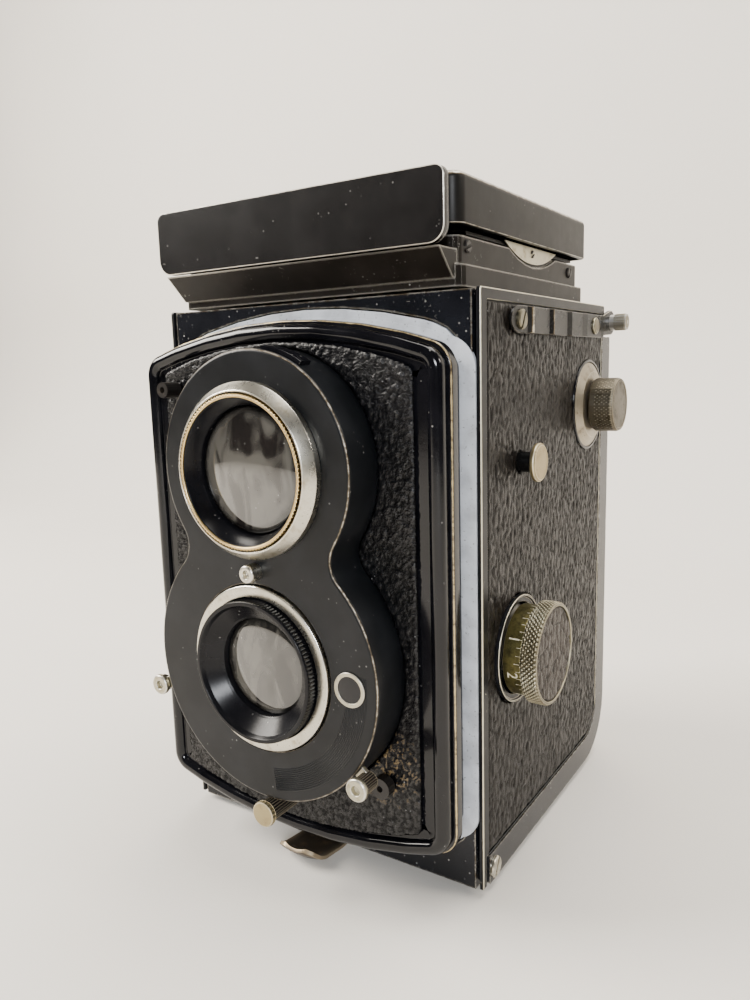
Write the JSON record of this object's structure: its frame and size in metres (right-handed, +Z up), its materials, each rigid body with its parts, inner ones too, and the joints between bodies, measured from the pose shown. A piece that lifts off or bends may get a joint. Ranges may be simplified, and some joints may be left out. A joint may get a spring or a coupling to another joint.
{
  "type": "twin lens reflex camera",
  "caption": "Twin lens reflex camera for 6 x 6 cm roll film, with a focusing front plate, folding hood, hinged back, winding crank and leather panels.",
  "frame": {"origin": "on the tripod socket's flat face, flush with the base, under the middle of the body; the socket's own axis is 6.2 mm in front of it", "axes": "+X towards the side with the focusing knob, -Y forward through the lenses, +Z up"},
  "size_m": [0.108, 0.1072, 0.1497],
  "materials": {
    "black_enamel": "glossy black enamel with worn edges",
    "front_leather": "fine pebbled black leather",
    "body_leather": "black-brown morocco leather with a long grain",
    "bare_aluminium": "satin, lightly scratched",
    "aged_nickel": "aged nickel plate, warm",
    "gilt_brass": "fine knurled, aged",
    "scale_brass": "dull olive brass with pale numerals",
    "stud_brass": "pale, worn",
    "steel": "machined",
    "worn_steel": "blackened, worn brown",
    "mirror": "front-silvered",
    "lens_glass": "polished",
    "ground_glass": "finely ground"
  },
  "bodies": {
    "camera_body": {"body_casting": "black_enamel", "tunnel_rim": "bare_aluminium", "focus_side_cover": "black_enamel", "focus_side_leather": "body_leather", "crank_side_cover": "black_enamel", "crank_side_leather": "body_leather", "focus_side_strap_stud": "stud_brass", "crank_side_strap_stud": "stud_brass", "film_gate": "black_enamel", "reflex_mirror": "mirror", "ground_glass": "ground_glass", "hinge_spring_strap": "worn_steel", "strap_screw": "steel", "hood_base": "black_enamel", "name_plate": "black_enamel"},
    "front_standard": {"front_plate": "black_enamel", "front_leather": "front_leather", "shutter_cover": "black_enamel", "viewing_lens_ring": "aged_nickel", "viewing_lens_retainer": "gilt_brass", "viewing_lens_cell": "black_enamel", "viewing_lens_glass": "lens_glass", "taking_lens_ring": "aged_nickel", "taking_lens_cell": "black_enamel", "taking_front_glass": "lens_glass", "taking_rear_glass": "lens_glass", "shutter_case": "aged_nickel", "centre_post": "aged_nickel", "cable_release_socket": "black_enamel", "flash_socket": "aged_nickel"},
    "aperture_lever": {"aperture_lever": "aged_nickel"},
    "speed_lever": {"speed_lever": "aged_nickel"},
    "release_lever": {"release_lever": "black_enamel"},
    "focus_knob": {"focus_cam": "steel", "focus_scale_drum": "scale_brass", "focus_knob": "aged_nickel", "focus_knob_leather": "body_leather"},
    "spool_knob": {"spool_knob": "aged_nickel"},
    "crank": {"crank_gear": "steel", "crank_arm": "aged_nickel"},
    "crank_handle": {"crank_handle": "black_enamel"},
    "take_up_spool": {"take_up_spool": "black_enamel", "take_up_gear": "steel"},
    "feed_spool": {"feed_spool": "black_enamel"},
    "lower_film_roller": {"lower_film_roller": "bare_aluminium"},
    "upper_film_roller": {"upper_film_roller": "bare_aluminium"},
    "hood_lid": {"hood_lid": "black_enamel"},
    "hood_leaf_focus_side": {"hood_leaf_focus_side": "black_enamel"},
    "hood_leaf_crank_side": {"hood_leaf_crank_side": "black_enamel"},
    "hood_rear_leaf": {"hood_rear_leaf": "black_enamel"},
    "magnifier": {"magnifier_arm": "steel", "magnifier_lens": "lens_glass"},
    "back_door": {"back_door": "black_enamel", "back_leather": "body_leather", "tripod_socket": "aged_nickel", "pressure_spring": "steel"},
    "pressure_plate": {"pressure_plate": "steel"},
    "latch": {"latch_arm": "worn_steel"},
    "hinge_pin": {"hinge_pin": "steel"}
  },
  "joints": [
    {"name": "focus_knob_turn", "type": "hinge", "parent": "camera_body", "child": "focus_knob", "pos_m": [0.04175, -0.0228, 0.0492], "axis": [1, 0, 0], "range_deg": [-101, 201.5]},
    {"name": "front_standard_slide", "type": "slide", "parent": "camera_body", "child": "front_standard", "axis": [0, -1, 0], "range_m": [-0.0025, 0.005]},
    {"name": "aperture_lever_turn", "type": "hinge", "parent": "front_standard", "child": "aperture_lever", "pos_m": [0, -0.0617, 0.0497], "axis": [0, -1, 0], "range_deg": [-20, 40]},
    {"name": "speed_lever_turn", "type": "hinge", "parent": "front_standard", "child": "speed_lever", "pos_m": [0, -0.0617, 0.0497], "axis": [0, -1, 0], "range_deg": [-35, 25]},
    {"name": "release_lever_turn", "type": "hinge", "parent": "front_standard", "child": "release_lever", "pos_m": [0, -0.0617, 0.0497], "axis": [0, -1, 0], "range_deg": [-15, 15]},
    {"name": "spool_knob_pull", "type": "slide", "parent": "camera_body", "child": "spool_knob", "axis": [1, 0, 0], "range_m": [0, 0.006]},
    {"name": "crank_turn", "type": "hinge", "parent": "camera_body", "child": "crank", "pos_m": [-0.03985, 0, 0.08896], "axis": [1, 0, 0], "continuous": true},
    {"name": "take_up_turn", "type": "hinge", "parent": "camera_body", "child": "take_up_spool", "pos_m": [0, 0.0232, 0.1007], "axis": [1, 0, 0], "continuous": true},
    {"name": "crank_handle_turn", "type": "hinge", "parent": "crank", "child": "crank_handle", "pos_m": [-0.05, 0, 0.06496], "axis": [1, 0, 0], "continuous": true},
    {"name": "feed_spool_turn", "type": "hinge", "parent": "camera_body", "child": "feed_spool", "pos_m": [0, 0.0135, 0.0155], "axis": [1, 0, 0], "continuous": true},
    {"name": "lower_film_roller_turn", "type": "hinge", "parent": "camera_body", "child": "lower_film_roller", "pos_m": [0, 0.0298, 0.0167], "axis": [1, 0, 0], "continuous": true},
    {"name": "upper_film_roller_turn", "type": "hinge", "parent": "camera_body", "child": "upper_film_roller", "pos_m": [0, 0.0298, 0.0827], "axis": [1, 0, 0], "continuous": true},
    {"name": "hood_lid_open", "type": "hinge", "parent": "camera_body", "child": "hood_lid", "pos_m": [0, -0.039, 0.143], "axis": [1, 0, 0], "range_deg": [0, 90]},
    {"name": "hood_leaf_focus_side_open", "type": "hinge", "parent": "camera_body", "child": "hood_leaf_focus_side", "pos_m": [0.0352, 0, 0.1376], "axis": [0, 1, 0], "range_deg": [-0.5, 90.5]},
    {"name": "hood_leaf_crank_side_open", "type": "hinge", "parent": "camera_body", "child": "hood_leaf_crank_side", "pos_m": [-0.0352, 0, 0.1376], "axis": [0, 1, 0], "range_deg": [-90.5, 0.5]},
    {"name": "hood_rear_leaf_open", "type": "hinge", "parent": "camera_body", "child": "hood_rear_leaf", "pos_m": [0, 0.0283, 0.1396], "axis": [1, 0, 0], "range_deg": [-90.5, 0.5]},
    {"name": "magnifier_swing", "type": "hinge", "parent": "hood_lid", "child": "magnifier", "pos_m": [0, -0.008, 0.1432], "axis": [1, 0, 0], "range_deg": [-90.5, 0.5]},
    {"name": "back_door_open", "type": "hinge", "parent": "camera_body", "child": "back_door", "pos_m": [0, 0.039, 0.122], "axis": [1, 0, 0], "range_deg": [0, 100]},
    {"name": "pressure_plate_press", "type": "slide", "parent": "back_door", "child": "pressure_plate", "axis": [0, 1, 0], "range_m": [0, 0.0015], "stiffness_N_per_m": 800, "deforming": ["pressure_spring"]},
    {"name": "latch_open", "type": "hinge", "parent": "back_door", "child": "latch", "pos_m": [0, -0.035, -0.00105], "axis": [1, 0, 0], "range_deg": [0, 60]},
    {"name": "hinge_pin_pull", "type": "slide", "parent": "camera_body", "child": "hinge_pin", "axis": [1, 0, 0], "range_m": [0, 0.008]}
  ],
  "couplings": [
    {"joint": "focus_knob_turn", "follows": "front_standard_slide", "rad_per_m": 698.13},
    {"joint": "take_up_turn", "follows": "crank_turn", "ratio": -1.3636},
    {"joint": "hood_leaf_focus_side_open", "follows": "hood_lid_open", "ratio": 1},
    {"joint": "hood_leaf_crank_side_open", "follows": "hood_lid_open", "ratio": -1},
    {"joint": "hood_rear_leaf_open", "follows": "hood_lid_open", "ratio": -1},
    {"joint": "magnifier_swing", "follows": "hood_lid_open", "ratio": -1}
  ]
}
